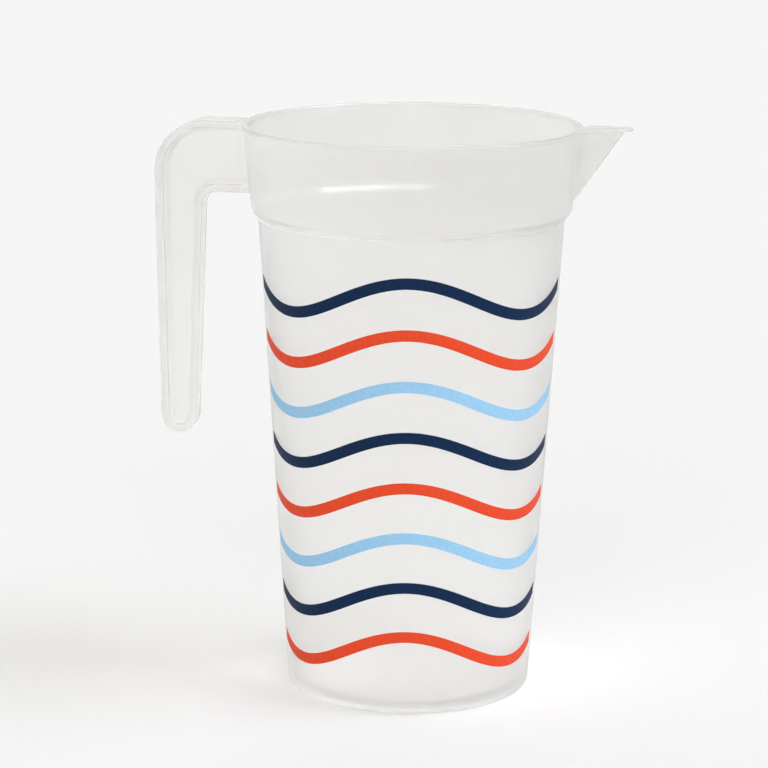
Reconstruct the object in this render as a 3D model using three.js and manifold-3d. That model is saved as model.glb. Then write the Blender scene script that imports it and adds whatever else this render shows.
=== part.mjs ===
// A stacking pitcher of moulded polypropylene: tapered body, wide collar, beak spout,
// a ribbed handle that hangs free at its lower end, and eight printed wave stripes.
// Millimetres, +Z up. It stands on z = 0, with its bounding box centred on x = 0 and y = 0.
// The handle points to -X and the spout to +X.
import * as THREE from "three";
import { mergeVertices } from "three/addons/utils/BufferGeometryUtils.js";
import Module from "manifold-3d";

const wasm = await Module();
wasm.setup();

// Body
const HEIGHT = 213; // standing plane to rim
const BASE_RADIUS = 45.4; // outside of the body wall, run down to the standing plane
const WALL_TOP_RADIUS = 56.7; // outside of the body wall, at the stacking step
const COLLAR_RADIUS = 59.3; // outside of the collar, just over the stacking step
const MOUTH_RADIUS = 62.1; // outside of the collar, at the rim
const COLLAR_HEIGHT = 31.4; // rim down to the lower edge of the collar
const STEP_SLOPE = 45; // degrees from upright, stacking step between wall and collar
const STEP_EASE = 0.7; // rounded length on each side of the stacking step's corners
const WALL = 1.6; // moulded wall
const RIM_HEIGHT = 1.7; // bead round the mouth
const RIM_LIP = 0.55; // how far the bead stands out
const RIM_ROUND = 0.7; // upper edges of the bead

// Base
const FOOT_ROUND = 3; // outer corner of the foot
const FOOT_WIDTH = 2; // flat that the pitcher stands on
const FOOT_HEIGHT = 7; // height of the foot ring
const FLOOR_RECESS = 2.2; // standing plane up to the underside of the floor's edge
const FLOOR_THICKNESS = 1.8;
const FLOOR_DOME = 1.8; // rise of the floor from its edge to its middle
const FLOOR_LAND = 1.5; // edge of the floor that belongs to the foot ring
const FLOOR_FILLET = 2; // between floor and wall, inside
const GATE_RADIUS = 6; // round recess about the moulding gate, under the floor
const GATE_DEPTH = 0.5;
const GATE_STUB_RADIUS = 1.3;
const GATE_STUB_HEIGHT = 0.7;

// Spout
const SPOUT_DEPTH = 27.3; // rim down to the point of the beak
const SPOUT_REACH = 17.3; // collar to the front of the beak, at the rim
const SPOUT_SIDE = 6.3; // middle of the beak's root to each side, square to it, at the rim
const SPOUT_ANGLE = 15; // degrees between each side and the middle plane
const SPOUT_ROOT_RADIUS = 6; // hollow curve from the collar into the side, at the rim
const SPOUT_RISE = 1; // lip over the rim
const LIP_NOSE = 2.1; // how far the lip stands out at the front

// Handle
const HANDLE_REACH = 96.4; // axis to the outer edge
const HANDLE_DROP = 0.3; // rim down to the top of the handle
const HANDLE_LENGTH = 119.3; // top of the handle to its lower end
const ARM_HEIGHT = 26.7; // depth of the arm that meets the collar
const CORNER_RADIUS = 19.5; // outer corner
const INNER_CORNER_RADIUS = 5.5; // finger corner
const END_RADIUS = 6.65; // round lower end
const END_OFFSET = 88.1; // axis to the middle of the lower end
const GRIP_DRAFT = 2.1; // degrees, slope of the finger side
const HANDLE_DEPTH_TOP = 12; // across the handle at its top
const HANDLE_DEPTH_END = 8.4; // across the handle at its lower end
const FLANGE = 2.7; // rim of the I section
const WEB = 1.8; // plate of the I section
const WEB_FILLET = 2; // between plate and rim
const EDGE_ROUND = 0.6; // outer edges of the rim

// Print
const STRIPE_COUNT = 8;
const STRIPE_WIDTH = 4.2;
const STRIPE_LOW = 23.3; // standing plane to the middle of the lowest stripe
const STRIPE_TOP_MARGIN = 22.7; // middle of the highest stripe to the stacking step
const WAVE_HEIGHT = 7.25; // middle line to crest
const WAVES_LOW = 3.17; // waves in a full turn, on the lowest stripe
const WAVES_HIGH = 3.44; // waves in a full turn, on the highest stripe
const PRINT_TURN = 8.2; // degrees from the front, -Y, to the middle of the print
const PRINT_SPAN = 156; // degrees round the body
const INK = 0.15; // film of ink
const INK_GAP = 0.05; // between wall and ink

const SEAM = 0.2; // gap between neighbouring solids
const POINT = 0.02; // smallest radius, and smallest share of the beak, that is drawn
const FACETS = 72; // round the axis
const CURVE_STEPS = 8; // along a quarter of a drawn curve
const CORNER_STEPS = 3; // along a small rounded corner

const { mapLinear, degToRad } = THREE.MathUtils;

// Sizes that follow from those
const collarZ = HEIGHT - COLLAR_HEIGHT;
const stepZ = collarZ - (COLLAR_RADIUS - WALL_TOP_RADIUS) / Math.tan(degToRad(STEP_SLOPE));
const wallTopZ = stepZ - WALL;
const rimZ = HEIGHT - RIM_HEIGHT;
const rimRadius = MOUTH_RADIUS + RIM_LIP;

const wallRadius = (z) => mapLinear(z, 0, stepZ, BASE_RADIUS, WALL_TOP_RADIUS);
const collarRadius = (z) => mapLinear(z, collarZ, HEIGHT, COLLAR_RADIUS, MOUTH_RADIUS);

const at = (x, y) => new THREE.Vector2(x, y);

// Points of an arc, angles in degrees
function arc(centreX, centreY, radius, from, to, steps) {
  return Array.from({ length: steps + 1 }, (_, i) => {
    const angle = degToRad(mapLinear(i, 0, steps, from, to));
    return at(centreX + radius * Math.cos(angle), centreY + radius * Math.sin(angle));
  });
}

// A line of points with its inner corners rounded, each over a length to both sides
function eased(points, length) {
  const part = (corner, other) => other.clone().sub(corner).setLength(length).add(corner);
  return points.flatMap((corner, i) => {
    if (i === 0 || i === points.length - 1) return [corner];
    const start = part(corner, points[i - 1]);
    const end = part(corner, points[i + 1]);
    return new THREE.QuadraticBezierCurve(start, corner, end).getPoints(CORNER_STEPS);
  });
}

// Turns a profile of (radius, height) about the Z axis; the first facet starts at the front, -Y
function revolve(profile) {
  const onAxis = profile[0].x === 0;
  const points = onAxis ? profile : [...profile, profile[0]];
  return new THREE.LatheGeometry(points, FACETS).rotateX(Math.PI / 2);
}

// Skins a row of closed outlines; place(point, k) sets a point of outline k in space
function loft(outlines, place) {
  const count = outlines[0].length;
  const last = count * (outlines.length - 1);
  const points = outlines.flatMap((outline, k) => outline.map((point) => place(point, k)));
  const index = [];
  for (let row = 0; row < last; row += count) {
    for (let i = 0; i < count; i++) {
      const a = row + i;
      const b = row + ((i + 1) % count);
      index.push(a, b, b + count, a, b + count, a + count);
    }
  }
  for (const [a, b, c] of THREE.ShapeUtils.triangulateShape(outlines[0], [])) {
    index.push(c, b, a);
  }
  for (const [a, b, c] of THREE.ShapeUtils.triangulateShape(outlines.at(-1), [])) {
    index.push(last + a, last + b, last + c);
  }
  const geometry = new THREE.BufferGeometry().setFromPoints(points);
  geometry.setIndex(index);
  return geometry;
}

// Solids for joining and cutting
function toSolid(geometry) {
  const bare = geometry.clone();
  bare.deleteAttribute("normal");
  bare.deleteAttribute("uv");
  const merged = mergeVertices(bare);
  const vertProperties = new Float32Array(merged.attributes.position.array);
  const triVerts = new Uint32Array(merged.index.array);
  return new wasm.Manifold(new wasm.Mesh({ numProp: 3, vertProperties, triVerts }));
}

function toGeometry(solid) {
  const mesh = solid.getMesh();
  const geometry = new THREE.BufferGeometry();
  geometry.setAttribute("position", new THREE.BufferAttribute(mesh.vertProperties, 3));
  geometry.setIndex(new THREE.BufferAttribute(mesh.triVerts, 1));
  return geometry;
}

// Foot ring: the rounded corner of the body, the flat it stands on and the edge of the floor
const footOuter = wallRadius(FOOT_ROUND) - FOOT_ROUND;
const footInner = footOuter - FOOT_WIDTH;
const floorEdge = footInner - FLOOR_LAND;
const floorTop = FLOOR_RECESS + FLOOR_THICKNESS;

function footRing() {
  const filletZ = floorTop + FLOOR_FILLET;
  const filletX = wallRadius(filletZ) - WALL - FLOOR_FILLET;
  return revolve([
    at(footInner, 0),
    ...arc(footOuter, FOOT_ROUND, FOOT_ROUND, -90, 0, 4),
    at(wallRadius(FOOT_HEIGHT), FOOT_HEIGHT),
    at(wallRadius(FOOT_HEIGHT) - WALL, FOOT_HEIGHT),
    ...arc(filletX, filletZ, FLOOR_FILLET, 0, -90, 3),
    at(floorEdge, floorTop),
    at(floorEdge, FLOOR_RECESS),
    at(footInner, FLOOR_RECESS),
  ]);
}

// Floor: a slightly domed disc with the gate's recess and stub underneath
function floorDisc() {
  const edge = floorEdge - SEAM;
  const dome = (r) => FLOOR_RECESS + FLOOR_DOME * (1 - (r / edge) ** 2);
  const rings = [edge / 3, (edge * 2) / 3, edge];
  const recessZ = dome(GATE_RADIUS) + GATE_DEPTH;
  const stubZ = recessZ - GATE_STUB_HEIGHT;
  return revolve([
    at(0, stubZ),
    at(GATE_STUB_RADIUS, stubZ),
    at(GATE_STUB_RADIUS, recessZ),
    at(GATE_RADIUS, recessZ),
    at(GATE_RADIUS, dome(GATE_RADIUS)),
    ...rings.map((r) => at(r, dome(r))),
    ...rings.toReversed().map((r) => at(r, dome(r) + FLOOR_THICKNESS)),
    at(0, dome(0) + FLOOR_THICKNESS),
  ]);
}

// Body wall: a plain taper between the foot ring and the collar
function bodyWall() {
  const low = FOOT_HEIGHT + SEAM;
  return revolve([
    at(wallRadius(low), low),
    at(wallRadius(wallTopZ), wallTopZ),
    at(wallRadius(wallTopZ) - WALL, wallTopZ),
    at(wallRadius(low) - WALL, low),
  ]);
}

// Collar: the sloping stacking step and the wide band over it, open where the spout leaves it
function collar() {
  const low = wallTopZ + SEAM;
  const high = rimZ - SEAM;
  const lift = WALL * Math.tan(degToRad(STEP_SLOPE / 2));
  const outside = [
    at(wallRadius(low), low),
    at(WALL_TOP_RADIUS, stepZ),
    at(COLLAR_RADIUS, collarZ),
    at(collarRadius(high), high),
  ];
  const inside = [
    at(collarRadius(high) - WALL, high),
    at(COLLAR_RADIUS - WALL, collarZ + lift),
    at(WALL_TOP_RADIUS - WALL, stepZ + lift),
    at(wallRadius(low) - WALL, low),
  ];
  const ring = revolve([...eased(outside, STEP_EASE), ...eased(inside, STEP_EASE)]);
  return toGeometry(toSolid(ring).subtract(spoutBlock(SEAM)));
}

// Rim bead: runs round the mouth and stops at the spout's lip
function rimBead() {
  const inner = collarRadius(rimZ) - WALL;
  const ring = revolve([
    at(inner, rimZ),
    at(collarRadius(rimZ), rimZ),
    at(rimRadius, rimZ + RIM_LIP),
    ...arc(rimRadius - RIM_ROUND, HEIGHT - RIM_ROUND, RIM_ROUND, 0, 90, 2),
    ...arc(inner + RIM_ROUND, HEIGHT - RIM_ROUND, RIM_ROUND, 90, 180, 2),
  ]);
  return toGeometry(toSolid(ring).subtract(spoutBlock(SEAM)));
}

// Spout: half of the beak's plan at a share of its full size, grown outwards by a clearance.
// A hollow curve leaves the collar, a straight side follows and a round nose closes it.
function halfBeak(root, share, grow, nose) {
  const sine = Math.sin(degToRad(SPOUT_ANGLE));
  const side = SPOUT_SIDE * share + grow;
  const curve = Math.max(SPOUT_ROOT_RADIUS * share - grow, POINT);
  const along = at(Math.cos(degToRad(SPOUT_ANGLE)), -sine);
  const square = at(sine, along.x);
  const start = at(root, 0).addScaledVector(square, side + curve);
  const onto = start.dot(along);
  const slide = Math.sqrt(onto ** 2 - start.lengthSq() + (root + grow + curve) ** 2) - onto;
  const centre = start.addScaledVector(along, slide);
  const tip = SPOUT_REACH * share + grow + nose;
  const sharp = (tip - side) / (1 - sine);
  const noseRadius = Math.max(side - sharp * sine, POINT);
  const noseX = root + (side - noseRadius) / sine;
  const leave = THREE.MathUtils.radToDeg(centre.angle()) + 180;
  const foot = centre.clone().setLength(root + grow);
  return [
    at(root - SPOUT_REACH, foot.y + grow),
    at(foot.x - WALL, foot.y + grow),
    ...arc(centre.x, centre.y, curve, leave, 270 - SPOUT_ANGLE, CURVE_STEPS),
    ...arc(noseX, 0, noseRadius, 90 - SPOUT_ANGLE, 0, CURVE_STEPS),
  ];
}

// A beak of levels [height, share, grow, nose, rise], each lying on the collar
function beak(levels) {
  const plans = levels.map(([z, share, grow, nose]) => {
    const half = halfBeak(collarRadius(z), share, grow, nose);
    return [...half.map(({ x, y }) => at(x, -y)), ...half.slice(0, -1).reverse()];
  });
  const place = ({ x, y }, k) => {
    const [z, , , , rise] = levels[k];
    const out = THREE.MathUtils.smoothstep(x, MOUTH_RADIUS, MOUTH_RADIUS + SPOUT_ROOT_RADIUS);
    return new THREE.Vector3(x, y, z + rise * out);
  };
  return toSolid(loft(plans, place));
}

const beakShare = (z) => (z - HEIGHT + SPOUT_DEPTH) / SPOUT_DEPTH;

// Outside of the spout with its lip, grown by a clearance
function spoutBlock(grow) {
  const pointZ = HEIGHT - SPOUT_DEPTH * (1 - POINT);
  return beak([
    [pointZ, POINT, grow, 0, 0],
    [rimZ - grow, beakShare(rimZ), grow, 0, SPOUT_RISE],
    [rimZ + RIM_LIP - grow, 1, RIM_LIP + grow, LIP_NOSE - RIM_LIP, SPOUT_RISE],
    [HEIGHT - RIM_ROUND, 1, RIM_LIP + grow, LIP_NOSE - RIM_LIP, SPOUT_RISE],
    [HEIGHT + grow, 1, RIM_LIP - RIM_ROUND + grow, LIP_NOSE - RIM_LIP, SPOUT_RISE],
  ]);
}

function spout() {
  const channelShare = (WALL + SEAM) / SPOUT_SIDE;
  const channelTop = HEIGHT + SPOUT_RISE + WALL;
  const channel = beak([
    [HEIGHT - SPOUT_DEPTH * (1 - channelShare), channelShare, -WALL, 0, 0],
    [channelTop, beakShare(channelTop), -WALL, 0, SPOUT_RISE],
  ]);
  const bore = revolve([
    at(0, stepZ),
    at(collarRadius(stepZ) - WALL, stepZ),
    at(collarRadius(channelTop) - WALL, channelTop),
    at(0, channelTop),
  ]);
  return toGeometry(spoutBlock(0).subtract(channel).subtract(toSolid(bore)));
}

// Handle: outline in (distance from the axis, height), drawn in from its edge by an inset
const handleTop = HEIGHT - HANDLE_DROP;
const armZ = handleTop - ARM_HEIGHT;
const cornerCentre = at(HANDLE_REACH - CORNER_RADIUS, handleTop - CORNER_RADIUS);
const endCentre = at(END_OFFSET, handleTop - HANDLE_LENGTH + END_RADIUS);

// Slope of the outer side, which touches both the corner's circle and the end's circle
function outerDraft() {
  const span = endCentre.clone().sub(cornerCentre);
  const touch = Math.acos((CORNER_RADIUS - END_RADIUS) / span.length());
  return THREE.MathUtils.radToDeg(span.angle() + touch) - 360;
}

function handleOutline(inset) {
  const outer = outerDraft();
  const slope = Math.tan(degToRad(GRIP_DRAFT));
  const gripX = END_OFFSET - END_RADIUS / Math.cos(degToRad(GRIP_DRAFT));
  const fingerZ = armZ - INNER_CORNER_RADIUS;
  const fingerX = gripX - slope * (fingerZ - endCentre.y)
    - INNER_CORNER_RADIUS / Math.cos(degToRad(GRIP_DRAFT));
  const outline = [
    at(BASE_RADIUS, handleTop - inset),
    ...arc(cornerCentre.x, cornerCentre.y, CORNER_RADIUS - inset, 90, outer, CURVE_STEPS),
    ...arc(endCentre.x, endCentre.y, END_RADIUS - inset, outer, GRIP_DRAFT - 180, 2 * CURVE_STEPS),
    ...arc(fingerX, fingerZ, INNER_CORNER_RADIUS + inset, GRIP_DRAFT, 90, CURVE_STEPS),
    at(BASE_RADIUS, armZ + inset),
  ];
  return outline.reverse();
}

// Levels [across, inset] from one side of the handle to the other; it thins towards its lower end
function handleLoft(levels) {
  const outlines = levels.map(([, inset]) => handleOutline(inset));
  const thin = (z) =>
    mapLinear(z, handleTop - HANDLE_LENGTH, handleTop, HANDLE_DEPTH_END / HANDLE_DEPTH_TOP, 1);
  const place = ({ x, y }, k) => new THREE.Vector3(-x, levels[k][0] * thin(y), y);
  return toSolid(loft(outlines, place));
}

function bodyEnvelope() {
  return toSolid(
    revolve([
      at(0, 0),
      at(wallRadius(0) + SEAM, 0),
      at(WALL_TOP_RADIUS + SEAM, stepZ - SEAM),
      at(COLLAR_RADIUS + SEAM, collarZ - SEAM),
      at(collarRadius(rimZ) + SEAM, rimZ - SEAM),
      at(rimRadius + SEAM, rimZ - SEAM),
      at(rimRadius + SEAM, HEIGHT + SEAM),
      at(0, HEIGHT + SEAM),
    ]),
  );
}

function handle() {
  const side = HANDLE_DEPTH_TOP / 2;
  const bar = handleLoft([
    [-side, EDGE_ROUND],
    [-side + EDGE_ROUND, 0],
    [side - EDGE_ROUND, 0],
    [side, EDGE_ROUND],
  ]);
  const hollow = [
    [WEB / 2, FLANGE + WEB_FILLET],
    [WEB / 2 + 0.3 * WEB_FILLET, FLANGE + 0.3 * WEB_FILLET],
    [WEB / 2 + WEB_FILLET, FLANGE],
    [side + EDGE_ROUND, FLANGE],
  ];
  const farHollow = handleLoft(hollow);
  const nearHollow = handleLoft(hollow.toReversed().map(([across, inset]) => [-across, inset]));
  return toGeometry(bar.subtract(farHollow).subtract(nearHollow).subtract(bodyEnvelope()));
}

// Print: one wave stripe as a film of ink that lies on the facets of the body wall
function printStripe(number) {
  const step = 360 / FACETS;
  const first = Math.round((PRINT_TURN - PRINT_SPAN / 2) / step);
  const last = Math.round((PRINT_TURN + PRINT_SPAN / 2) / step);
  const rise = (STRIPE_COUNT - number) / (STRIPE_COUNT - 1);
  const middle = mapLinear(rise, 0, 1, STRIPE_LOW, stepZ - STRIPE_TOP_MARGIN);
  const waves = mapLinear(rise ** 3, 0, 1, WAVES_LOW, WAVES_HIGH);
  const turns = Array.from({ length: last - first + 1 }, (_, i) => degToRad((first + i) * step));
  const sections = turns.map((turn) => {
    const phase = waves * (turn - degToRad(PRINT_TURN));
    const z = middle + WAVE_HEIGHT * Math.cos(phase);
    const slope = (WAVE_HEIGHT * waves * Math.sin(phase)) / wallRadius(z);
    const half = (STRIPE_WIDTH / 2) * Math.hypot(1, slope);
    const under = (height) => wallRadius(height) + INK_GAP;
    return [
      at(-under(z + half), z + half),
      at(-under(z + half) - INK, z + half),
      at(-under(z - half) - INK, z - half),
      at(-under(z - half), z - half),
    ];
  });
  const place = ({ x, y }, k) =>
    new THREE.Vector3(-x * Math.sin(turns[k]), x * Math.cos(turns[k]), y);
  return loft(sections, place);
}

// Finishes
const plastic = new THREE.MeshStandardMaterial({
  color: 0xdedfdc,
  roughness: 0.35,
  metalness: 0,
  transparent: true,
  opacity: 0.6,
});
const inkOf = (color) => new THREE.MeshStandardMaterial({ color, roughness: 0.45, metalness: 0 });
const inks = [inkOf(0x162d4c), inkOf(0xe34f31), inkOf(0x98c6e5)];

// Assembly
const pitcher = new THREE.Group();

function addPiece(name, geometry, material) {
  const piece = new THREE.Mesh(geometry, material);
  piece.name = name;
  pitcher.add(piece);
}

addPiece("foot_ring", footRing(), plastic);
addPiece("floor", floorDisc(), plastic);
addPiece("body_wall", bodyWall(), plastic);
addPiece("collar", collar(), plastic);
addPiece("rim_bead", rimBead(), plastic);
addPiece("spout", spout(), plastic);
addPiece("handle", handle(), plastic);
for (let number = 1; number <= STRIPE_COUNT; number++) {
  addPiece(`print_stripe_${number}`, printStripe(number), inks[(number - 1) % inks.length]);
}

// The origin is under the middle of the bounding box
pitcher.position.x = -new THREE.Box3().setFromObject(pitcher).getCenter(new THREE.Vector3()).x;

export default pitcher;
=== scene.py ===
"""A stacking pitcher of translucent moulded plastic with printed wave stripes, on a pale floor."""
import math

import bmesh
import bpy
from mathutils import Matrix, Vector


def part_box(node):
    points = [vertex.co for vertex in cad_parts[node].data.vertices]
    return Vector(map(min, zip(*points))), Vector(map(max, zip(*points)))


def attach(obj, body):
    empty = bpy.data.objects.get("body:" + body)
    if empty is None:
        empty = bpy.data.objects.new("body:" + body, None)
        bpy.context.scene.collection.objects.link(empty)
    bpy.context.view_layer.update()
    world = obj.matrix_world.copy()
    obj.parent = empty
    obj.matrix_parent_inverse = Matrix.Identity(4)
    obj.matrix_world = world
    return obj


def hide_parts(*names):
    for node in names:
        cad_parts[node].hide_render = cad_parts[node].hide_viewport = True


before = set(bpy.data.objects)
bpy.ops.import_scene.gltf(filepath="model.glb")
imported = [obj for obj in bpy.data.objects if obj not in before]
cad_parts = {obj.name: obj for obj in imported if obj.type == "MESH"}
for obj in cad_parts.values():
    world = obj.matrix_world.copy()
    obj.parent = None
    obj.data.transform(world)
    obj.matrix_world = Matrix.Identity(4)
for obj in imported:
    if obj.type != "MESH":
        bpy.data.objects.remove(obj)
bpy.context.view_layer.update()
scene = bpy.context.scene

# Body, with sizes in millimetres and angles in degrees, as in the part
HEIGHT = 213.0  # standing plane to rim
BASE_RADIUS = 45.4  # outside of the wall, run down to the standing plane
WALL_TOP_RADIUS = 56.7  # outside of the wall, at the stacking step
COLLAR_RADIUS = 59.3  # outside of the collar, just over the stacking step
MOUTH_RADIUS = 62.1  # outside of the collar, at the rim
COLLAR_HEIGHT = 31.4  # rim down to the lower edge of the collar
STEP_SLOPE = 45.0  # from upright
WALL = 1.6
RIM_HEIGHT = 1.7  # bead round the mouth
RIM_LIP = 0.55  # how far the bead stands out
RIM_ROUND = 0.7  # upper edges of the bead
FOOT_ROUND = 3.0  # outer corner of the foot
FOOT_WIDTH = 2.0  # flat that the pitcher stands on
FLOOR_RECESS = 2.2  # standing plane up to the underside of the floor's edge
FLOOR_THICKNESS = 1.8
FLOOR_DOME = 1.8  # rise of the floor from its edge to its middle
FLOOR_FILLET = 2.0  # between floor and wall, inside
GATE_RADIUS = 6.0  # round recess about the moulding gate, under the floor
GATE_DEPTH = 0.5
GATE_STUB_RADIUS = 1.3
GATE_STUB_HEIGHT = 0.7

# Spout
SPOUT_DEPTH = 27.3  # rim down to the point of the beak
SPOUT_REACH = 17.3  # collar to the front of the beak, at the rim
SPOUT_SIDE = 6.3  # middle of the beak's root to each side, square to it, at the rim
SPOUT_ANGLE = 15.0  # between each side and the middle plane
SPOUT_ROOT_RADIUS = 6.0  # hollow curve from the collar into the side, at the rim
SPOUT_RISE = 1.0  # lip over the rim
LIP_NOSE = 2.1  # how far the lip stands out at the front
POINT = 0.02  # smallest radius, and smallest share of the beak, that is drawn

# Handle
HANDLE_REACH = 96.4  # axis to the outer edge
HANDLE_DROP = 0.3  # rim down to the top of the handle
HANDLE_LENGTH = 119.3  # top of the handle to its lower end
ARM_HEIGHT = 26.7  # depth of the arm that meets the collar
CORNER_RADIUS = 19.5  # outer corner
INNER_CORNER_RADIUS = 5.5  # finger corner
END_RADIUS = 6.65  # round lower end
END_OFFSET = 88.1  # axis to the middle of the lower end
GRIP_DRAFT = 2.1  # slope of the finger side
HANDLE_DEPTH_TOP = 12.0  # across the handle at its top
HANDLE_DEPTH_END = 8.4  # across the handle at its lower end
FLANGE = 2.7  # rim of the I section
WEB = 1.8  # plate of the I section
WEB_FILLET = 2.0  # between plate and rim
EDGE_ROUND = 0.6  # outer edges of the rim

# Print
STRIPE_COUNT = 8
STRIPE_WIDTH = 4.2
STRIPE_LOW = 23.3  # standing plane to the middle of the lowest stripe
STRIPE_TOP_MARGIN = 22.7  # middle of the highest stripe to the stacking step
WAVE_HEIGHT = 7.25  # middle line to crest
WAVES_LOW = 3.17  # waves in a full turn, on the lowest stripe
WAVES_HIGH = 3.44  # waves in a full turn, on the highest stripe
PRINT_TURN = 8.2  # from the front, -Y, to the middle of the print
PRINT_SPAN = 156.0  # round the body

# Small details of this mesh, in millimetres
STEP_EASE_HOLLOW = 0.83  # rounded length on each side of the step's hollow corners
STEP_EASE_PROUD = 1.49  # the same for the corners that stand proud
BEAD_STEP = 0.3  # height of each step of the rim bead's eased underside
BEAD_TOUCH = 0.02  # how far its lower end lies in the collar
BEAD_START = 0.2  # how far its first step stands out of the collar
BEAD_SHORT = 0.1  # how far its second step stays behind the bead
LIP_SHORT = 0.15  # how far the first step of the spout's lip stays behind the lip
NOSE_SHORT = 0.2  # the same at the front of the spout
FLOOR_EDGE_ROUND = 0.6
FOOT_EDGE_ROUND = 0.3  # inner edge of the flat that the pitcher stands on
GATE_STUB_DRAFT = 0.1  # how much wider the gate's stub is at its root
GATE_EDGE = 0.2  # half the width of the gate recess's sloped edge
CHANNEL_POINT = 0.2  # half the width of the spout channel's lower end
CHAMFER_DEPTH = 0.4  # inner edges of the handle's flanges
CHAMFER_WIDTH = 0.25
INK_FROM = 0.03  # wall to the back of the ink
INK_TO = 0.12  # wall to the face of the ink
INK_EDGE = 0.06  # slope at the edges of the ink
CUT_MARGIN = 1.0  # how far a cutting shape reaches past what it cuts
CORE_LOW = 150.0  # lower end of the core that keeps the inside clear
CORE_ABOVE = 5.0  # how far that core reaches over the rim

# Facets
ROUND_STEPS = 240  # round the axis
STRIPE_STEPS = 180  # along a stripe
BEAK_STEPS = 20  # along each curve of the beak
DOME_RINGS = 8
WALL_RINGS = (20, 60, 100, 140)  # heights of rings in the plain wall, in millimetres
COLLAR_RING = 195

# The pitcher's axis and main heights
low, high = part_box("body_wall")
AXIS = (low.x + high.x) / 2 * 1000
collar_z = HEIGHT - COLLAR_HEIGHT
step_z = collar_z - (COLLAR_RADIUS - WALL_TOP_RADIUS) / math.tan(math.radians(STEP_SLOPE))
step_lift = WALL * math.tan(math.radians(STEP_SLOPE / 2))
rim_z = HEIGHT - RIM_HEIGHT
rim_radius = MOUTH_RADIUS + RIM_LIP


def between(value, a, b, to_a, to_b):
    return to_a + (value - a) / (b - a) * (to_b - to_a)


def wall_radius(z):
    return between(z, 0, step_z, BASE_RADIUS, WALL_TOP_RADIUS)


def collar_radius(z):
    return between(z, collar_z, HEIGHT, COLLAR_RADIUS, MOUTH_RADIUS)


def arc(x, y, radius, start, end, steps):
    turns = [math.radians(between(i, 0, steps, start, end)) for i in range(steps + 1)]
    return [(x + radius * math.cos(t), y + radius * math.sin(t)) for t in turns]


def quarter_turn(steps):
    return [math.pi / 2 * k / steps for k in range(steps + 1)]


def eased(before, corner, after, length, steps=8):
    """Rounds a corner of a profile over a length to both sides."""
    middle = Vector(corner)
    start = middle + (Vector(before) - middle).normalized() * length
    end = middle + (Vector(after) - middle).normalized() * length
    shares = [k / steps for k in range(steps + 1)]
    return [tuple(start.lerp(middle, t).lerp(middle.lerp(end, t), t)) for t in shares]


# Meshes
def make_object(name, points, faces):
    """Points are in millimetres from the pitcher's axis."""
    mesh = bpy.data.meshes.new(name)
    placed = [((x + AXIS) / 1000, y / 1000, z / 1000) for x, y, z in points]
    mesh.from_pydata(placed, [], faces)
    mesh.validate()
    made = bpy.data.objects.new(name, mesh)
    scene.collection.objects.link(made)
    return made


def lathe(name, profile, steps=ROUND_STEPS):
    """Turns a profile that starts and ends on the axis."""
    inner = profile[1:-1]
    points = [(0, 0, profile[0][1]), (0, 0, profile[-1][1])]
    for i in range(steps):
        turn = 2 * math.pi * i / steps
        points += [(r * math.sin(turn), -r * math.cos(turn), z) for r, z in inner]
    count = len(inner)
    faces = []
    for i in range(steps):
        a = 2 + i * count
        b = 2 + (i + 1) % steps * count
        faces.append((0, b, a))
        faces.append((1, a + count - 1, b + count - 1))
        faces += [(a + k, b + k, b + k + 1, a + k + 1) for k in range(count - 1)]
    return make_object(name, points, faces)


def loft(name, outlines, place):
    """Skins a row of closed outlines; place(point, k) sets a point of outline k in space."""
    count = len(outlines[0])
    points = [place(p, k) for k, outline in enumerate(outlines) for p in outline]
    last = count * (len(outlines) - 1)
    faces = []
    for row in range(0, last, count):
        for i in range(count):
            j = (i + 1) % count
            faces.append((row + i, row + j, row + count + j, row + count + i))
    faces.append(tuple(range(count - 1, -1, -1)))
    faces.append(tuple(range(last, last + count)))
    return make_object(name, points, faces)


def apply_modifiers(piece):
    bpy.context.view_layer.update()
    evaluated = piece.evaluated_get(bpy.context.evaluated_depsgraph_get())
    mesh = bpy.data.meshes.new_from_object(evaluated)
    piece.modifiers.clear()
    piece.data = mesh


def combine(target, other, operation):
    modifier = target.modifiers.new("combine", "BOOLEAN")
    modifier.operation = operation
    modifier.solver = "EXACT"
    modifier.object = other
    apply_modifiers(target)
    bpy.data.objects.remove(other)


def smooth(piece, sharp_from):
    """Shades a piece smooth, but for edges sharper than an angle in degrees."""
    piece.data.polygons.foreach_set("use_smooth", [True] * len(piece.data.polygons))
    piece.data.set_sharp_from_angle(angle=math.radians(sharp_from))


def clean(piece, reach=1e-5):
    """Drops the slivers that joining leaves."""
    work = bmesh.new()
    work.from_mesh(piece.data)
    bmesh.ops.remove_doubles(work, verts=work.verts, dist=reach)
    bmesh.ops.dissolve_degenerate(work, edges=work.edges, dist=reach)
    work.to_mesh(piece.data)
    work.free()


def even_normals(piece):
    """Lets large faces set the shading, so that flat faces stay flat beside their rounded edges."""
    modifier = piece.modifiers.new("even_normals", "WEIGHTED_NORMAL")
    modifier.mode = "FACE_AREA"
    modifier.keep_sharp = True
    apply_modifiers(piece)


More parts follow.
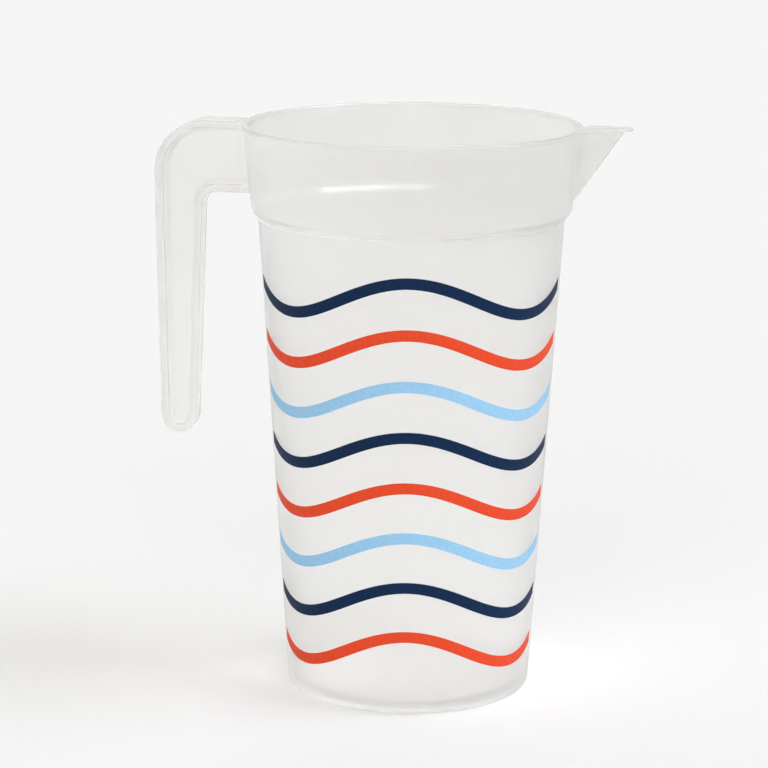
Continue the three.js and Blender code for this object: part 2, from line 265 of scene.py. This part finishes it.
# Body of revolution: floor, foot, wall, stacking step, collar and rim bead
def body_profile():
    """From the middle of the underside, up the outside, over the rim and down the inside."""
    foot_outer = wall_radius(FOOT_ROUND) - FOOT_ROUND
    foot_inner = foot_outer - FOOT_WIDTH
    edge = foot_inner - FLOOR_EDGE_ROUND

    def dome(r):
        return FLOOR_RECESS + FLOOR_DOME * (1 - min(r / edge, 1) ** 2)

    recess_z = dome(GATE_RADIUS) + GATE_DEPTH
    stub_z = recess_z - GATE_STUB_HEIGHT
    gate_edge = GATE_RADIUS + GATE_EDGE
    rings = [edge * k / DOME_RINGS for k in range(2, DOME_RINGS + 1)]
    fillet_z = FLOOR_RECESS + FLOOR_THICKNESS + FLOOR_FILLET
    fillet_r = wall_radius(fillet_z) - WALL - FLOOR_FILLET
    wall_out = [(wall_radius(z), z) for z in WALL_RINGS]
    wall_in = [(r - WALL, z) for r, z in reversed(wall_out)]
    step_low = (WALL_TOP_RADIUS, step_z)
    step_high = (COLLAR_RADIUS, collar_z)
    ledge_low = (WALL_TOP_RADIUS - WALL, step_z + step_lift)
    ledge_high = (COLLAR_RADIUS - WALL, collar_z + step_lift)
    collar_out = (collar_radius(COLLAR_RING), COLLAR_RING)
    collar_in = (collar_radius(COLLAR_RING) - WALL, COLLAR_RING)
    rim_root = collar_radius(rim_z)
    return [
        (0, stub_z),
        (GATE_STUB_RADIUS, stub_z),
        (GATE_STUB_RADIUS + GATE_STUB_DRAFT, recess_z),
        (GATE_RADIUS - GATE_EDGE, recess_z),
        (gate_edge, dome(gate_edge)),
        *[(r, dome(r)) for r in rings],
        *arc(edge, FLOOR_RECESS - FLOOR_EDGE_ROUND, FLOOR_EDGE_ROUND, 90, 0, steps=4)[1:],
        *arc(foot_inner + FOOT_EDGE_ROUND, FOOT_EDGE_ROUND, FOOT_EDGE_ROUND, 180, 270, steps=3),
        *arc(foot_outer, FOOT_ROUND, FOOT_ROUND, -90, 0, steps=12),
        *wall_out,
        *eased(wall_out[-1], step_low, step_high, STEP_EASE_HOLLOW),
        *eased(step_low, step_high, collar_out, STEP_EASE_PROUD),
        collar_out,
        (rim_root - BEAD_TOUCH, rim_z - BEAD_STEP),
        (rim_root + BEAD_START, rim_z),
        (rim_radius - BEAD_SHORT, rim_z + BEAD_STEP),
        (rim_radius, rim_z + 2 * BEAD_STEP),
        *arc(rim_radius - RIM_ROUND, HEIGHT - RIM_ROUND, RIM_ROUND, 0, 90, steps=6),
        *arc(rim_root - WALL + RIM_ROUND, HEIGHT - RIM_ROUND, RIM_ROUND, 90, 180, steps=6),
        collar_in,
        *eased(collar_in, ledge_high, ledge_low, STEP_EASE_HOLLOW),
        *eased(ledge_high, ledge_low, wall_in[0], STEP_EASE_PROUD),
        *wall_in,
        *arc(fillet_r, fillet_z, FLOOR_FILLET, 0, -90, steps=8),
        *[(r, dome(r) + FLOOR_THICKNESS) for r in reversed(rings)],
        (0, dome(0) + FLOOR_THICKNESS),
    ]


# Spout
def half_beak(root, share, grow, nose):
    """One side of the beak's plan: from the collar by a hollow curve into a flat side and the nose."""
    sine = math.sin(math.radians(SPOUT_ANGLE))
    cosine = math.cos(math.radians(SPOUT_ANGLE))
    side = SPOUT_SIDE * share + grow
    curve = max(SPOUT_ROOT_RADIUS * share - grow, POINT)
    start = Vector((root + sine * (side + curve), cosine * (side + curve)))
    along = Vector((cosine, -sine))
    onto = start.dot(along)
    slide = math.sqrt(onto**2 - start.length_squared + (root + grow + curve) ** 2) - onto
    centre = start + slide * along
    tip = SPOUT_REACH * share + grow + nose
    sharp = (tip - side) / (1 - sine)
    nose_radius = max(side - sharp * sine, POINT)
    nose_x = root + (side - nose_radius) / sine
    leave = math.degrees(math.atan2(centre.y, centre.x)) + 180
    foot = centre.normalized() * (root + grow)
    return [
        (root - SPOUT_REACH, foot.y),
        (foot.x - WALL, foot.y),
        *arc(centre.x, centre.y, curve, leave, 270 - SPOUT_ANGLE, BEAK_STEPS),
        *arc(nose_x, 0, nose_radius, 90 - SPOUT_ANGLE, 0, BEAK_STEPS),
    ]


def beak(name, levels):
    """Levels are (height, share, grow, nose, rise), each lying on the collar."""
    plans = []
    for z, share, grow, nose, _ in levels:
        half = half_beak(collar_radius(z), share, grow, nose)
        plans.append([(x, -y) for x, y in half] + half[-2::-1])

    def place(point, k):
        z, rise = levels[k][0], levels[k][4]
        t = min(max((point[0] - MOUTH_RADIUS) / SPOUT_ROOT_RADIUS, 0), 1)
        return point[0], point[1], z + rise * t * t * (3 - 2 * t)

    return loft(name, plans, place)


def beak_share(z):
    return (z - HEIGHT + SPOUT_DEPTH) / SPOUT_DEPTH


def spout_block():
    nose = LIP_NOSE - RIM_LIP
    levels = [
        (HEIGHT - SPOUT_DEPTH * (1 - POINT), POINT, 0, 0, 0),
        (rim_z, beak_share(rim_z), 0, 0, SPOUT_RISE),
        (rim_z + BEAD_STEP, 1, RIM_LIP - LIP_SHORT, nose - NOSE_SHORT, SPOUT_RISE),
        (rim_z + 2 * BEAD_STEP, 1, RIM_LIP, nose, SPOUT_RISE),
    ]
    for t in quarter_turn(6):
        z = HEIGHT - RIM_ROUND + RIM_ROUND * math.sin(t)
        grow = RIM_LIP - RIM_ROUND + RIM_ROUND * math.cos(t)
        levels.append((z, 1, grow, nose, SPOUT_RISE))
    return beak("spout_block", levels)


def spout_channel():
    share = (WALL + CHANNEL_POINT) / SPOUT_SIDE
    top = HEIGHT + SPOUT_RISE + WALL
    levels = [
        (HEIGHT - SPOUT_DEPTH * (1 - share), share, -WALL, 0, 0),
        (top, beak_share(top), -WALL, 0, SPOUT_RISE),
    ]
    return beak("spout_channel", levels)


# Handle
handle_top = HEIGHT - HANDLE_DROP
arm_z = handle_top - ARM_HEIGHT
handle_corner = Vector((HANDLE_REACH - CORNER_RADIUS, handle_top - CORNER_RADIUS))
handle_end = Vector((END_OFFSET, handle_top - HANDLE_LENGTH + END_RADIUS))


def handle_outline(inset):
    """The handle from the side, drawn in from its edge by an inset."""
    span = handle_end - handle_corner
    touch = math.acos((CORNER_RADIUS - END_RADIUS) / span.length)
    outer = math.degrees(math.atan2(span.y, span.x) + touch)
    draft = math.radians(GRIP_DRAFT)
    finger_z = arm_z - INNER_CORNER_RADIUS
    finger_x = (
        END_OFFSET
        - END_RADIUS / math.cos(draft)
        - math.tan(draft) * (finger_z - handle_end.y)
        - INNER_CORNER_RADIUS / math.cos(draft)
    )
    outline = [
        (BASE_RADIUS, handle_top - inset),
        *arc(*handle_corner, CORNER_RADIUS - inset, 90, outer, steps=28),
        *arc(*handle_end, END_RADIUS - inset, outer, GRIP_DRAFT - 180, steps=32),
        *arc(finger_x, finger_z, INNER_CORNER_RADIUS + inset, GRIP_DRAFT, 90, steps=16),
        (BASE_RADIUS, arm_z + inset),
    ]
    return outline[::-1]


def handle_loft(name, levels):
    """Levels are (across, inset) from one side to the other; it thins towards its lower end."""
    handle_low = handle_top - HANDLE_LENGTH
    thinnest = HANDLE_DEPTH_END / HANDLE_DEPTH_TOP

    def place(point, k):
        share = between(point[1], handle_low, handle_top, thinnest, 1)
        return -point[0], levels[k][0] * share, point[1]

    return loft(name, [handle_outline(inset) for _, inset in levels], place)


def handle_bar():
    side = HANDLE_DEPTH_TOP / 2
    edge = [
        (side - EDGE_ROUND + EDGE_ROUND * math.sin(t), EDGE_ROUND - EDGE_ROUND * math.cos(t))
        for t in quarter_turn(5)
    ]
    bar = handle_loft("handle_bar", [(-a, i) for a, i in reversed(edge)] + edge)
    hollow_side = WEB / 2 + WEB_FILLET
    hollow_inset = FLANGE + WEB_FILLET
    hollow = [
        (hollow_side - WEB_FILLET * math.cos(t), hollow_inset - WEB_FILLET * math.sin(t))
        for t in quarter_turn(6)
    ]
    hollow.append((side - CHAMFER_DEPTH, FLANGE))
    hollow.append((side, FLANGE - CHAMFER_WIDTH))
    hollow.append((side + CUT_MARGIN, FLANGE - CHAMFER_WIDTH))
    combine(bar, handle_loft("far_hollow", hollow), "DIFFERENCE")
    near = [(-a, i) for a, i in reversed(hollow)]
    combine(bar, handle_loft("near_hollow", near), "DIFFERENCE")
    return bar


# The moulding is one seamless piece
def inside_core():
    """Fills the inside to the middle of the wall, to trim what handle and spout leave there."""
    half = WALL / 2
    profile = [
        (0, CORE_LOW),
        (wall_radius(CORE_LOW) - half, CORE_LOW),
        (wall_radius(step_z) - half, step_z),
        (COLLAR_RADIUS - half, collar_z),
        (MOUTH_RADIUS - half, HEIGHT),
        (MOUTH_RADIUS - half, HEIGHT + CORE_ABOVE),
        (0, HEIGHT + CORE_ABOVE),
    ]
    return lathe("inside", profile)


def moulding():
    body = lathe("pitcher_moulding", body_profile())
    inside = inside_core()
    added = handle_bar()
    combine(added, spout_block(), "UNION")
    combine(added, inside, "DIFFERENCE")
    combine(body, added, "UNION")
    combine(body, spout_channel(), "DIFFERENCE")
    clean(body)
    smooth(body, sharp_from=32)
    even_normals(body)
    return body


# One stripe of ink, a thin closed film on the wall
def print_stripe(number):
    rise = (STRIPE_COUNT - number) / (STRIPE_COUNT - 1)
    middle = between(rise, 0, 1, STRIPE_LOW, step_z - STRIPE_TOP_MARGIN)
    waves = between(rise**3, 0, 1, WAVES_LOW, WAVES_HIGH)
    points = []
    for i in range(STRIPE_STEPS + 1):
        turn = math.radians(PRINT_TURN + PRINT_SPAN * (i / STRIPE_STEPS - 0.5))
        phase = waves * (turn - math.radians(PRINT_TURN))
        z = middle + WAVE_HEIGHT * math.cos(phase)
        slope = WAVE_HEIGHT * waves * math.sin(phase) / wall_radius(z)
        half = STRIPE_WIDTH / 2 * math.hypot(1, slope)
        section = [
            (INK_FROM, z + half),
            (INK_TO, z + half - INK_EDGE),
            (INK_TO, z - half + INK_EDGE),
            (INK_FROM, z - half),
        ]
        for off, height in section:
            r = wall_radius(height) + off
            points.append((r * math.sin(turn), -r * math.cos(turn), height))
    faces = []
    for i in range(STRIPE_STEPS):
        a, b = 4 * i, 4 * i + 4
        for k in range(4):
            j = (k + 1) % 4
            faces.append((a + k, a + j, b + j, b + k))
    faces.append((3, 2, 1, 0))
    faces.append(tuple(4 * STRIPE_STEPS + k for k in range(4)))
    return make_object(f"wave_stripe_{number}", points, faces)


# Shader nodes
def new_material(name):
    material = bpy.data.materials.new(name)
    material.use_nodes = True
    nodes = material.node_tree.nodes
    links = material.node_tree.links
    return material, nodes, links, nodes["Principled BSDF"]


def place_axes(nodes, links, kind):
    """The X, Y and Z of a place on the surface, or of a direction of the sky."""
    place = nodes.new("ShaderNodeTexCoord")
    axes = nodes.new("ShaderNodeSeparateXYZ")
    links.new(place.outputs[kind], axes.inputs["Vector"])
    return axes.outputs


def noise(nodes, links, scale, detail):
    place = nodes.new("ShaderNodeTexCoord")
    texture = nodes.new("ShaderNodeTexNoise")
    texture.inputs["Scale"].default_value = scale
    texture.inputs["Detail"].default_value = detail
    links.new(place.outputs["Object"], texture.inputs["Vector"])
    return texture.outputs["Fac"]


def ramp(nodes, links, value, a, b, start, end):
    """Goes from colour a to colour b while the value goes from start to end."""
    made = nodes.new("ShaderNodeValToRGB")
    made.color_ramp.elements[0].position = start
    made.color_ramp.elements[0].color = (*a, 1)
    made.color_ramp.elements[1].position = end
    made.color_ramp.elements[1].color = (*b, 1)
    links.new(value, made.inputs["Fac"])
    return made.outputs["Color"]


def map_range(nodes, links, value, low, high, to_low=0.0, to_high=1.0):
    made = nodes.new("ShaderNodeMapRange")
    made.inputs["From Min"].default_value = low
    made.inputs["From Max"].default_value = high
    made.inputs["To Min"].default_value = to_low
    made.inputs["To Max"].default_value = to_high
    links.new(value, made.inputs["Value"])
    return made.outputs["Result"]


def multiply(nodes, links, a, b):
    made = nodes.new("ShaderNodeMix")
    made.data_type = "RGBA"
    made.blend_type = "MULTIPLY"
    made.inputs["Factor"].default_value = 1.0
    links.new(a, made.inputs["A"])
    links.new(b, made.inputs["B"])
    return made.outputs["Result"]


def bump(nodes, links, value, strength, distance):
    made = nodes.new("ShaderNodeBump")
    made.inputs["Strength"].default_value = strength
    made.inputs["Distance"].default_value = distance
    links.new(value, made.inputs["Height"])
    return made.outputs["Normal"]


def by_height(nodes, links, height, levels):
    """A value that follows the height: levels are pairs of a height in mm and a value."""
    band = nodes.new("ShaderNodeValToRGB")
    stops = band.color_ramp.elements
    for _ in levels[2:]:
        stops.new(0.5)
    for stop, (z, value) in zip(stops, levels):
        stop.position = z / HEIGHT
        stop.color = (value, value, value, 1)
    links.new(height, band.inputs["Fac"])
    return band.outputs["Color"]


def but_on_handle(nodes, links, on_body, body_value, handle_value):
    """A value on the body, and one number for the handle."""
    choice = nodes.new("ShaderNodeMix")
    choice.inputs["A"].default_value = handle_value
    links.new(on_body, choice.inputs["Factor"])
    links.new(body_value, choice.inputs["B"])
    return choice.outputs["Result"]


def linear(*srgb):
    return tuple((c / 255 / 12.92) if c <= 10 else ((c / 255 + 0.055) / 1.055) ** 2.4 for c in srgb)


# Most of a noise lies between these values
NOISE_LOW = 0.3
NOISE_HIGH = 0.7

# Plastic: shares of milkiness, roughness, colours, and lengths in millimetres
THIN_MILK = 0.1
MIDDLE_MILK = 0.23
THICK_MILK = 0.3
HANDLE_MILK = 0.2
FOOT_BAND = 8  # height at which the foot's thick milk is down to the middle share
FOOT_FADE = 30  # height at which it is down to the thin share
STEP_FADE = 8  # under the step, where the thin share ends
STEP_BAND = 1  # under the step, where the middle share starts
RIM_FADE = 14  # under the rim bead, where the milk starts to thicken
SATIN_ROUGHNESS = 0.3
POLISHED_ROUGHNESS = 0.1
CLOUD_DARK = (0.996, 0.996, 0.988)
CLOUD_LIGHT = (1.0, 1.0, 0.996)
PAINTED_SHADE_LOW = 50  # height from which painted shade darkens the plastic's colour a little
PAINTED_SHADE_HIGH = 190  # height at which the painted shade is darkest
PAINTED_SHADE_AT_TOP = (0.955, 0.955, 0.955)
HANDLE_BLEND = 3  # width over which the handle's values turn into the body's


def plastic_cloud_and_painted_shade(nodes, links, z):
    """Nearly clear and slightly clouded, with painted shade that makes the colour a little darker
    towards the top.
    """
    haze = noise(nodes, links, scale=60, detail=3)
    cloud = ramp(nodes, links, haze, CLOUD_DARK, CLOUD_LIGHT, NOISE_LOW, NOISE_HIGH)
    # Painted shade: the colour darkens towards the top, standing in for the weaker light on the upper
    # walls
    share = map_range(nodes, links, z, PAINTED_SHADE_LOW / 1000, PAINTED_SHADE_HIGH / 1000)
    painted_shade = ramp(nodes, links, share, (1.0, 1.0, 1.0), PAINTED_SHADE_AT_TOP, 0.0, 1.0)
    return multiply(nodes, links, cloud, painted_shade)


def plastic_material():
    material, nodes, links, shader = new_material("natural_plastic")
    axes = place_axes(nodes, links, "Object")
    # Random cloud and painted shade, used for both the glass and the milk
    cloud_and_painted_shade = plastic_cloud_and_painted_shade(nodes, links, axes["Z"])
    height = map_range(nodes, links, axes["Z"], 0, HEIGHT / 1000)
    body_x = AXIS - MOUTH_RADIUS
    on_body = map_range(nodes, links, axes["X"], (body_x - HANDLE_BLEND) / 1000, body_x / 1000)
    links.new(cloud_and_painted_shade, shader.inputs["Base Color"])
    shader.inputs["Transmission Weight"].default_value = 0.92
    shader.inputs["IOR"].default_value = 1.42
    # The body under the step has a satin finish, the collar and the handle are polished
    finish = by_height(nodes, links, height, [
        (step_z, SATIN_ROUGHNESS),
        (collar_z, POLISHED_ROUGHNESS),
    ])
    finish = but_on_handle(nodes, links, on_body, finish, POLISHED_ROUGHNESS)
    links.new(finish, shader.inputs["Roughness"])
    # Milkiest at the foot and the rim, where the plastic is seen through its depth
    milk_share = by_height(nodes, links, height, [
        (0, THICK_MILK),
        (FOOT_BAND, MIDDLE_MILK),
        (FOOT_FADE, THIN_MILK),
        (step_z - STEP_FADE, THIN_MILK),
        (step_z - STEP_BAND, MIDDLE_MILK),
        (rim_z - RIM_FADE, MIDDLE_MILK),
        (rim_z, THICK_MILK),
    ])
    milk_share = but_on_handle(nodes, links, on_body, milk_share, HANDLE_MILK)
    milk = nodes.new("ShaderNodeBsdfTranslucent")
    links.new(cloud_and_painted_shade, milk.inputs["Color"])
    mix = nodes.new("ShaderNodeMixShader")
    links.new(milk_share, mix.inputs["Fac"])
    links.new(shader.outputs["BSDF"], mix.inputs[1])
    links.new(milk.outputs["BSDF"], mix.inputs[2])
    links.new(mix.outputs["Shader"], nodes["Material Output"].inputs["Surface"])
    return material


# Inks, in their order from the top stripe down, as sRGB values
INKS = {
    "ink_navy": (15, 41, 74),
    "ink_orange": (230, 76, 43),
    "ink_light_blue": (154, 202, 236),
}
INK_LIGHTER = 1.06  # brightest grain of the ink, as a share of its colour
INK_LIFT = 0.002  # and as a lift that dark inks show too
INK_DARKER = 0.95


def ink_material(name, srgb):
    material, nodes, links, shader = new_material(name)
    base = linear(*srgb)
    grain = noise(nodes, links, scale=900, detail=2)
    lighter = tuple(min(c * INK_LIGHTER + INK_LIFT, 1) for c in base)
    darker = tuple(c * INK_DARKER for c in base)
    colour = ramp(nodes, links, grain, darker, lighter, NOISE_LOW, NOISE_HIGH)
    links.new(colour, shader.inputs["Base Color"])
    shader.inputs["Roughness"].default_value = 0.5
    shader.inputs["Specular IOR Level"].default_value = 0.08
    relief = bump(nodes, links, grain, strength=0.08, distance=0.0001)
    links.new(relief, shader.inputs["Normal"])
    return material


# Pieces
pitcher = moulding()
pitcher.data.materials.clear()
pitcher.data.materials.append(plastic_material())
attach(pitcher, "root")
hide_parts("foot_ring", "floor", "body_wall", "collar", "rim_bead", "spout", "handle")

inks = {slot: ink_material(slot, srgb) for slot, srgb in INKS.items()}
for number in range(1, STRIPE_COUNT + 1):
    slot = list(inks)[(number - 1) % len(inks)]
    stripe = print_stripe(number)
    smooth(stripe, sharp_from=40)
    stripe.data.materials.append(inks[slot])
    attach(stripe, "root")
    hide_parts(f"print_stripe_{number}")


# Floor
FLOOR_REACH = 6000
FLOOR_COLOUR = (0.93, 0.93, 0.93, 1)


def floor_material():
    material, _, _, shader = new_material("studio_floor")
    shader.inputs["Base Color"].default_value = FLOOR_COLOUR
    shader.inputs["Roughness"].default_value = 0.9
    shader.inputs["Specular IOR Level"].default_value = 0.0
    return material


corners = [(-1, -1), (1, -1), (1, 1), (-1, 1)]
floor_points = [(x * FLOOR_REACH, y * FLOOR_REACH, 0) for x, y in corners]
floor = make_object("studio_floor", floor_points, [(0, 1, 2, 3)])
floor.data.materials.append(floor_material())

# Light, in metres
SKY_LOW = (0.9, 0.87, 0.815)
SKY_HIGH = (0.97, 0.94, 0.88)
DIM_BELOW = -0.6  # directions with a lower Y than this get the dimmest light
DIM_SHARE = 0.28
STRIP_WIDTH = 0.1
STRIP_HEIGHT = 1.6


def studio_room():
    """Plain room light, brightest behind the pitcher and dim on the camera's side."""
    world = bpy.data.worlds.new("studio")
    scene.world = world
    world.use_nodes = True
    nodes = world.node_tree.nodes
    links = world.node_tree.links
    axes = place_axes(nodes, links, "Generated")
    sky = ramp(nodes, links, axes["Z"], SKY_LOW, SKY_HIGH, 0.0, 1.0)
    side = map_range(nodes, links, axes["Y"], DIM_BELOW, 1.0, to_low=DIM_SHARE)
    room = multiply(nodes, links, sky, side)
    links.new(room, nodes["Background"].inputs["Color"])
    nodes["Background"].inputs["Strength"].default_value = 1.0


def strip_light(name, start, end, power):
    """A strip overhead that only shows in glossy reflections."""
    data = bpy.data.lights.new(name, "AREA")
    data.shape = "RECTANGLE"
    across = Vector(end) - Vector(start)
    data.size = across.length
    data.size_y = STRIP_WIDTH
    data.energy = power
    lamp = bpy.data.objects.new(name, data)
    middle = (Vector(start) + Vector(end)) / 2
    lamp.location = (middle.x, middle.y, STRIP_HEIGHT)
    lamp.rotation_euler = (0, 0, math.atan2(across.y, across.x))
    lamp.visible_diffuse = False
    lamp.visible_transmission = False
    scene.collection.objects.link(lamp)


def sun_light(name, direction, spread, strength, colour):
    data = bpy.data.lights.new(name, "SUN")
    data.angle = math.radians(spread)
    data.color = colour
    data.energy = strength
    lamp = bpy.data.objects.new(name, data)
    lamp.rotation_euler = Vector(direction).to_track_quat("-Z", "Y").to_euler()
    scene.collection.objects.link(lamp)


studio_room()
sun_light("key", (-1.0, 0.03, -1.0), spread=44, strength=1.35, colour=(0.86, 0.905, 1.0))
sun_light("fill", (-0.1, 0.86, -0.5), spread=60, strength=1.25, colour=(1, 1, 1))
strip_light("strip_near", start=(-0.1, -0.16), end=(0.4, -0.02), power=10)
strip_light("strip_right", start=(0.36, -0.06), end=(0.87, 0.6), power=28)
scene.cycles.max_bounces = 32
scene.cycles.transmission_bounces = 32
scene.cycles.glossy_bounces = 8
scene.cycles.blur_glossy = 0

# Camera, with its place in millimetres from the pitcher's axis and its angles in degrees
IMAGE_PIXELS = 768
FOCAL_PIXELS = 3146.46
SENSOR_WIDTH = 36
CAMERA_PLACE = (186.3, -1134.81, 370.77)
CAMERA_TURN = 9.8116
CAMERA_PITCH = 12.543
CAMERA_ROLL = 0.3556

view = bpy.data.cameras.new("camera")
view.sensor_width = SENSOR_WIDTH
view.lens = FOCAL_PIXELS / IMAGE_PIXELS * SENSOR_WIDTH
camera = bpy.data.objects.new("camera", view)
scene.collection.objects.link(camera)
place = Matrix.Translation((Vector(CAMERA_PLACE) + Vector((AXIS, 0, 0))) / 1000)
turn = Matrix.Rotation(math.radians(CAMERA_TURN), 4, "Z")
tilt = Matrix.Rotation(math.radians(90 - CAMERA_PITCH), 4, "X")
roll = Matrix.Rotation(math.radians(CAMERA_ROLL), 4, "Z")
camera.matrix_world = place @ turn @ tilt @ roll
scene.camera = camera

scene.view_settings.view_transform = "Standard"
